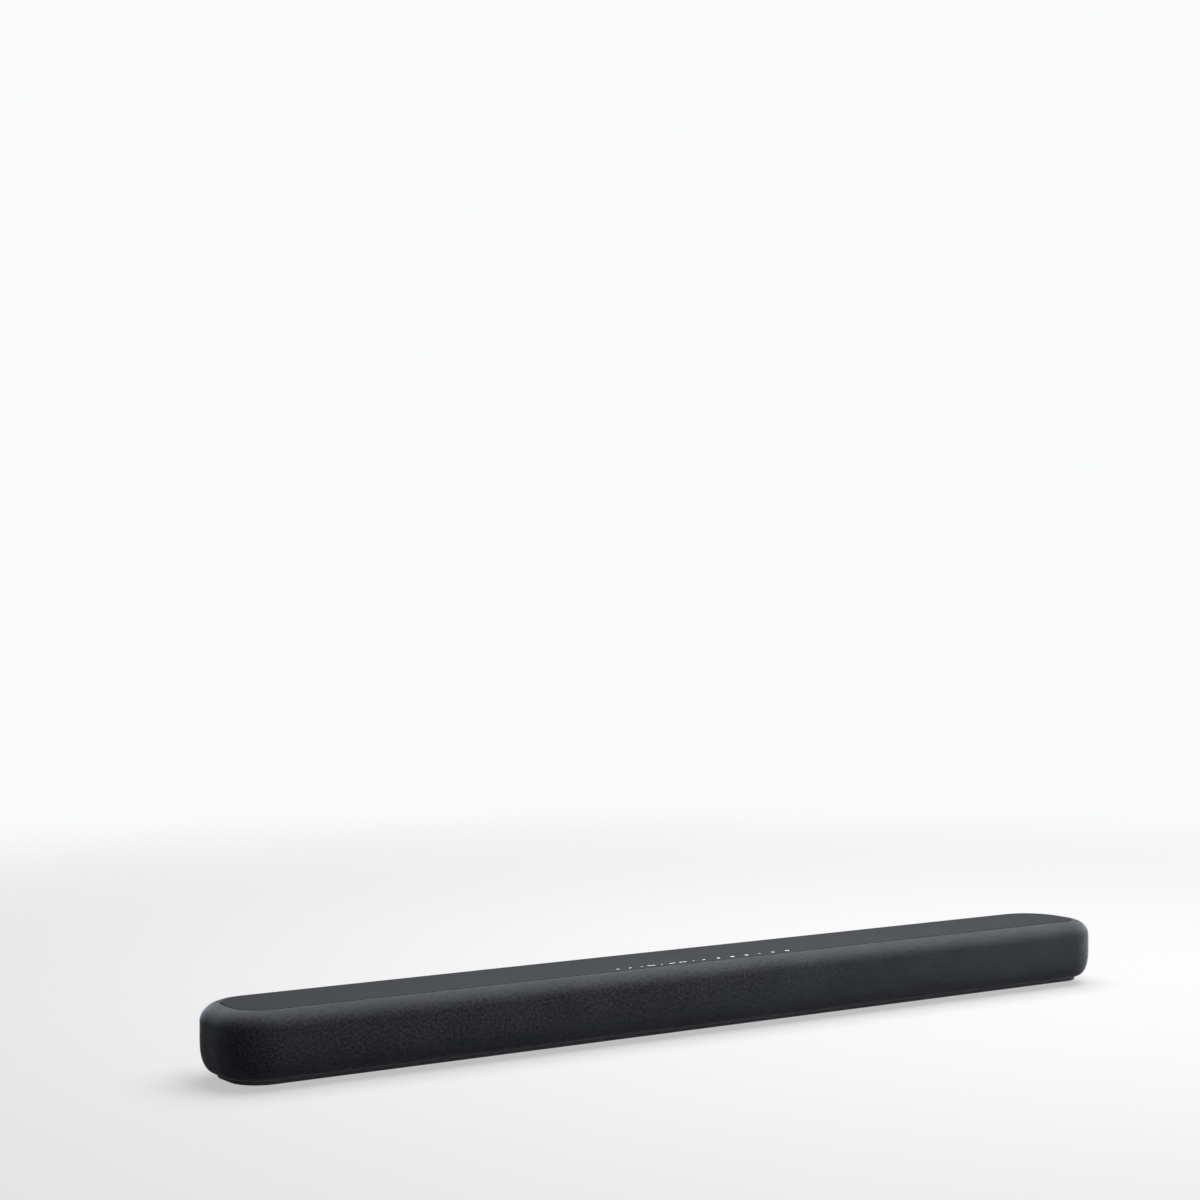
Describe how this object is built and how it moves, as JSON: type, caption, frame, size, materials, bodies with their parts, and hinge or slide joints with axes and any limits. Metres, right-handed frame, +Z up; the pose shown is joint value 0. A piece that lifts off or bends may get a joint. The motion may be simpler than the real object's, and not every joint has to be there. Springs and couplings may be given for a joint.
{
  "type": "soundbar",
  "caption": "Long low loudspeaker bar with a charcoal cloth grille round its front and ends, a flush satin top panel with touch marks, and a rear connector bay.",
  "frame": {"origin": "under the middle of the bar, on the surface that the feet stand on", "axes": "+X along the bar, towards the listener's right seen from behind it, front faces -Y, +Z up"},
  "size_m": [0.93, 0.109, 0.062],
  "materials": {
    "panel": "satin",
    "grille_cloth": "fine charcoal knit",
    "frame_plastic": "moulded black",
    "cabinet_plastic": "moulded black",
    "base_plastic": "fine grained charcoal",
    "rear_plastic": "fine grained black",
    "basket_steel": "black painted",
    "magnet": "plated",
    "cone_paper": "pressed pulp",
    "surround_rubber": "smooth",
    "tweeter_plastic": "fine grained black",
    "dome_cloth": "doped silk",
    "board": "solder mask",
    "transformer": "ferrite and tape",
    "capacitor": "sleeved can",
    "heat_sink": "extruded",
    "light_guide": "clear acrylic",
    "socket_metal": "plated",
    "socket_plastic": "moulded black",
    "lead": "matt sleeve",
    "ribbon": "white film",
    "wall_plate": "zinc plated",
    "foot_rubber": "matt",
    "screw": "black oxide"
  },
  "bodies": {
    "cabinet": {"top_panel": "panel", "grille_fabric": "grille_cloth", "grille_frame": "frame_plastic", "front_cabinet": "cabinet_plastic", "bottom_cover": "base_plastic", "rear_cover": "rear_plastic", "woofer_basket_outer_left": "basket_steel", "woofer_magnet_outer_left": "magnet", "woofer_surround_outer_left": "surround_rubber", "woofer_basket_inner_left": "basket_steel", "woofer_magnet_inner_left": "magnet", "woofer_surround_inner_left": "surround_rubber", "woofer_basket_inner_right": "basket_steel", "woofer_magnet_inner_right": "magnet", "woofer_surround_inner_right": "surround_rubber", "woofer_basket_outer_right": "basket_steel", "woofer_magnet_outer_right": "magnet", "woofer_surround_outer_right": "surround_rubber", "tweeter_face_left": "tweeter_plastic", "tweeter_magnet_left": "magnet", "tweeter_face_right": "tweeter_plastic", "tweeter_magnet_right": "magnet", "main_board": "board", "power_board": "board", "touch_board": "board", "wireless_module": "board", "transformer": "transformer", "filter_capacitor": "capacitor", "heat_sink": "heat_sink", "light_guide": "light_guide", "hdmi_input": "socket_metal", "hdmi_output": "socket_metal", "usb_socket": "socket_metal", "optical_socket": "socket_plastic", "power_inlet": "socket_plastic", "speaker_harness_left": "lead", "speaker_harness_right": "lead", "power_lead": "lead", "touch_ribbon": "ribbon", "wall_plate_left": "wall_plate", "wall_plate_right": "wall_plate", "foot_front_left": "foot_rubber", "foot_front_right": "foot_rubber", "foot_rear_left": "foot_rubber", "foot_rear_right": "foot_rubber", "base_screw_1": "screw", "base_screw_2": "screw", "base_screw_3": "screw", "base_screw_4": "screw", "base_screw_5": "screw", "base_screw_6": "screw"},
    "cone_outer_left": {"woofer_cone_outer_left": "cone_paper"},
    "cone_inner_left": {"woofer_cone_inner_left": "cone_paper"},
    "cone_inner_right": {"woofer_cone_inner_right": "cone_paper"},
    "cone_outer_right": {"woofer_cone_outer_right": "cone_paper"},
    "dome_left": {"tweeter_dome_left": "dome_cloth"},
    "dome_right": {"tweeter_dome_right": "dome_cloth"},
    "shutter": {"optical_shutter": "socket_plastic"}
  },
  "joints": [
    {"name": "cone_travel_outer_left", "type": "slide", "parent": "cabinet", "child": "cone_outer_left", "axis": [0, -1, 0], "range_m": [-0.002, 0.002], "stiffness_N_per_m": 900, "deforming": ["woofer_surround_outer_left"]},
    {"name": "cone_travel_inner_left", "type": "slide", "parent": "cabinet", "child": "cone_inner_left", "axis": [0, -1, 0], "range_m": [-0.002, 0.002], "stiffness_N_per_m": 900, "deforming": ["woofer_surround_inner_left"]},
    {"name": "cone_travel_inner_right", "type": "slide", "parent": "cabinet", "child": "cone_inner_right", "axis": [0, -1, 0], "range_m": [-0.002, 0.002], "stiffness_N_per_m": 900, "deforming": ["woofer_surround_inner_right"]},
    {"name": "cone_travel_outer_right", "type": "slide", "parent": "cabinet", "child": "cone_outer_right", "axis": [0, -1, 0], "range_m": [-0.002, 0.002], "stiffness_N_per_m": 900, "deforming": ["woofer_surround_outer_right"]},
    {"name": "dome_travel_left", "type": "slide", "parent": "cabinet", "child": "dome_left", "axis": [0, -1, 0], "range_m": [-0.0005, 0.0005], "stiffness_N_per_m": 900},
    {"name": "dome_travel_right", "type": "slide", "parent": "cabinet", "child": "dome_right", "axis": [0, -1, 0], "range_m": [-0.0005, 0.0005], "stiffness_N_per_m": 900},
    {"name": "shutter_swing", "type": "hinge", "parent": "cabinet", "child": "shutter", "pos_m": [0.036, 0.0354, 0.0277], "axis": [-1, 0, 0], "range_deg": [0, 80], "stiffness_Nm_per_rad": 0.0004, "springref_deg": -20.05}
  ]
}
